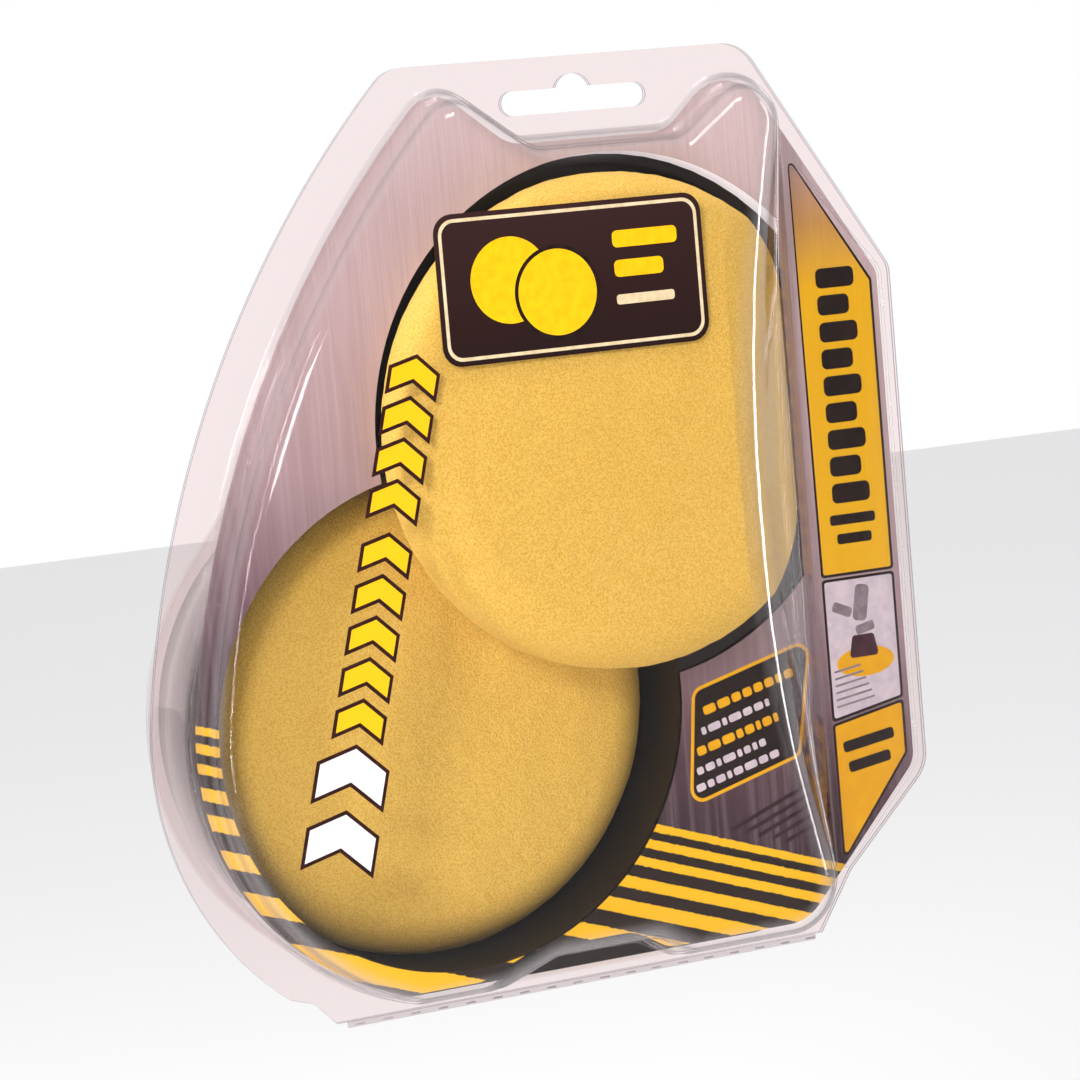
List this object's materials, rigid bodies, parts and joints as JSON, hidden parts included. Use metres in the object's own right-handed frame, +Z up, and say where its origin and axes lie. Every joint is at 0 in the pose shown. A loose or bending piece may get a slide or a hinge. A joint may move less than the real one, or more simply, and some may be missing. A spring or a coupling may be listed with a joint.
{
  "type": "clamshell retail pack with foam polishing pads",
  "caption": "Clear folding clamshell pack with a printed card that holds two round foam polishing pads, one in front of the other.",
  "frame": {"origin": "middle of the bottom of the bounding box, on the fold that the pack stands on", "axes": "+Z up along the flanges, -Y out of the pack's front, +X to the viewer's right"},
  "size_m": [0.1735, 0.0512, 0.19],
  "materials": {
    "clear_sheet": "gloss",
    "clear_bead": "gloss",
    "printed_front": "gloss print, brushed metal look",
    "printed_back": "satin print",
    "tray_black": "gloss",
    "foam_yellow": "open cell foam",
    "bond_film": "satin",
    "loop_cloth": "brushed loop cloth",
    "label_dark": "gloss print",
    "label_yellow": "gloss print"
  },
  "bodies": {
    "back": {"back_shell": "clear_sheet", "living_hinge": "clear_bead", "front_card": "printed_front", "back_card": "printed_back", "pad_tray": "tray_black", "upper_pad_foam": "foam_yellow", "upper_pad_bond": "bond_film", "upper_pad_loop": "loop_cloth", "lower_pad_foam": "foam_yellow", "lower_pad_bond": "bond_film", "lower_pad_loop": "loop_cloth"},
    "front": {"front_shell": "clear_sheet", "front_label": "label_dark", "side_label": "label_yellow"}
  },
  "joints": [
    {"name": "shell_hinge", "type": "hinge", "parent": "back", "child": "front", "pos_m": [0.00275, -0.0086, 0.0006], "axis": [1, 0, 0], "range_deg": [0, 175]}
  ]
}
